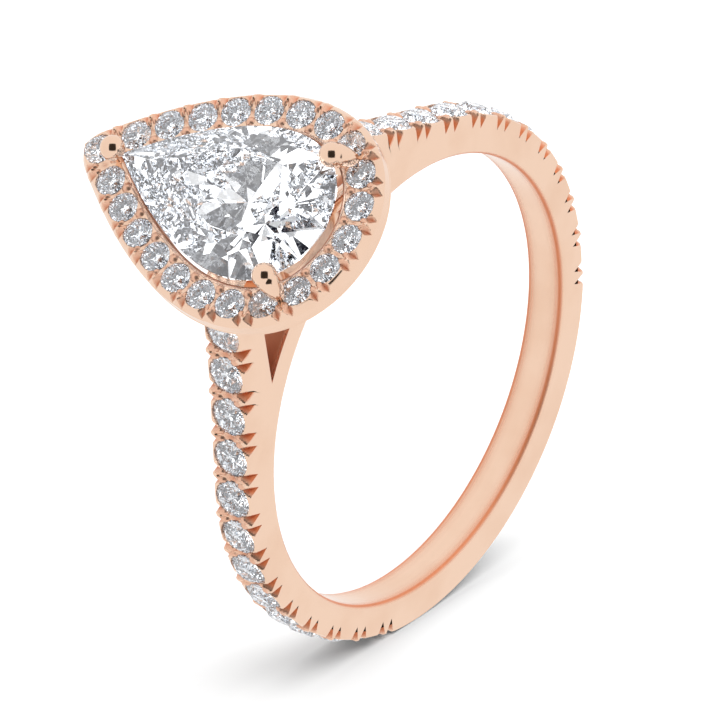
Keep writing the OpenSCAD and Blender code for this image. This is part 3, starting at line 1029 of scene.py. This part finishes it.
def floor_material():
    """White and matt from above. From below it is clear, so the ring can be looked at from there.
    Mirrors see it evenly white, as a sweep that goes on to every side would be."""
    material = bpy.data.materials.new("white_sweep")
    material.use_nodes = True
    tree = material.node_tree
    shader = tree.nodes["Principled BSDF"]
    shader.inputs["Base Color"].default_value = (0.95, 0.95, 0.95, 1)
    shader.inputs["Roughness"].default_value = 0.9
    shader.inputs["Specular IOR Level"].default_value = 0.0
    side = tree.nodes.new("ShaderNodeNewGeometry")
    clear = tree.nodes.new("ShaderNodeBsdfTransparent")
    mix = tree.nodes.new("ShaderNodeMixShader")
    shader.inputs["Emission Color"].default_value = (1, 1, 1, 1)
    shader.inputs["Emission Strength"].default_value = 0.06
    even = tree.nodes.new("ShaderNodeEmission")
    mirrored = tree.nodes.new("ShaderNodeMixShader")
    tree.links.new(tree.nodes.new("ShaderNodeLightPath").outputs["Is Glossy Ray"], mirrored.inputs["Fac"])
    tree.links.new(shader.outputs["BSDF"], mirrored.inputs[1])
    tree.links.new(even.outputs["Emission"], mirrored.inputs[2])
    tree.links.new(side.outputs["Backfacing"], mix.inputs["Fac"])
    tree.links.new(mirrored.outputs["Shader"], mix.inputs[1])
    tree.links.new(clear.outputs["BSDF"], mix.inputs[2])
    tree.links.new(mix.outputs["Shader"], tree.nodes["Material Output"].inputs["Surface"])
    return material


floor = make_floor()
floor.data.materials.append(floor_material())
print("floor normal", [round(x, 3) for x in floor.data.polygons[0].normal])

# %% [markdown]
# ## The surroundings
# Polished metal and cut stones show what is round them more than they show themselves. The world is
# white for the metal, with a dark patch behind the camera, as the lens and its operator make. Light
# that has been through a stone meets light and dark cards, since a diamond in an even white room
# looks empty. One soft light from behind draws the shadow.

# %% Surroundings
CARD_SCALE = 5.5
CARD_LIGHT, CARD_DARK = (2.5, 2.5, 2.5, 1), (0.0, 0.0, 0.01, 1)
SCREEN_TANGENTS = 0.60, 0.72
SCREEN_IN_METAL, SCREEN_IN_STONE = (0.04, 0.035, 0.03, 1), (0.12, 0.12, 0.13, 1)
right, up, back = camera_axes()


def toward(direction):
    """A direction in the picture's axes (right, up, back) as one in the ring's frame."""
    return (right * direction[0] + up * direction[1] + back * direction[2]).normalized()


def add_light(name, direction, distance, size, power):
    """A square soft light that faces the ring. It does not show in mirrors."""
    data = bpy.data.lights.new(name, "AREA")
    data.size = size
    data.energy = power
    lamp = bpy.data.objects.new(name, data)
    lamp.location = toward(direction) * distance
    lamp.rotation_mode = "QUATERNION"
    lamp.rotation_quaternion = toward(direction).to_track_quat("Z", "Y")
    lamp.visible_glossy = False
    lamp.visible_transmission = False
    bpy.context.scene.collection.objects.link(lamp)
    return lamp


add_light("key", (0.3, 1.0, 0.7), 0.6, 0.7, 3.0)


def along(tree, coords, direction):
    """How far the direction a ray looks in lies along one given in the picture's axes."""
    dot = tree.nodes.new("ShaderNodeVectorMath")
    dot.operation = "DOT_PRODUCT"
    dot.inputs[1].default_value = toward(direction)
    tree.links.new(coords, dot.inputs[0])
    return dot.outputs["Value"]


def dark_screen(tree, coords, half_width, half_height):
    """1 on a rectangle behind the camera, its half sides given as tangents, and 0 off it."""
    depth = along(tree, coords, (0, 0, 1))
    inside = []
    for direction, half in (((1, 0, 0), half_width), ((0, 1, 0), half_height)):
        slope = combine(tree, "DIVIDE", along(tree, coords, direction), depth)
        inside.append(span(tree, combine(tree, "ABSOLUTE", slope, 0), half, half + 0.06, 1.0, 0.0))
    ahead = combine(tree, "GREATER_THAN", depth, 0.01)
    return combine(tree, "MULTIPLY", ahead, combine(tree, "MULTIPLY", *inside))


def make_world():
    world = bpy.data.worlds.new("white_room")
    bpy.context.scene.world = world
    world.use_nodes = True
    tree = world.node_tree
    sky = tree.nodes["Background"]
    coords = tree.nodes.new("ShaderNodeTexCoord").outputs["Generated"]
    cards = tree.nodes.new("ShaderNodeTexNoise")
    cards.inputs["Scale"].default_value = CARD_SCALE
    cards.inputs["Detail"].default_value = 1
    tree.links.new(coords, cards.inputs["Vector"])
    light_card = span(tree, cards.outputs["Fac"], 0.41, 0.43)
    card_tone = mixed(tree, light_card, CARD_DARK, CARD_LIGHT)
    through_stone = tree.nodes.new("ShaderNodeLightPath").outputs["Is Transmission Ray"]
    room = mixed(tree, through_stone, (1.0, 1.0, 1.0, 1), card_tone)
    behind_camera = dark_screen(tree, coords, *SCREEN_TANGENTS)
    screen = mixed(tree, through_stone, SCREEN_IN_METAL, SCREEN_IN_STONE)
    tree.links.new(mixed(tree, behind_camera, room, screen), sky.inputs["Color"])
    sky.inputs["Strength"].default_value = 1.0


make_world()
bpy.context.scene.view_settings.view_transform = "Standard"
cycles = bpy.context.scene.cycles
cycles.max_bounces, cycles.glossy_bounces, cycles.transmission_bounces = 40, 32, 32
cycles.caustics_reflective = cycles.caustics_refractive = False

# %% [markdown]
# ## Sizes
# The new surfaces stand in for the imported ones, so they have to fill the same box. The last line
# prints how far they grow past the CAD box on each side.

# %% Sizes
seen_low, seen_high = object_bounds()
past = [(a - b) / MM for a, b in zip((*cad_low, *seen_high), (*seen_low, *cad_high))]
print("grows past the CAD box, in mm:", [round(x, 2) for x in past])
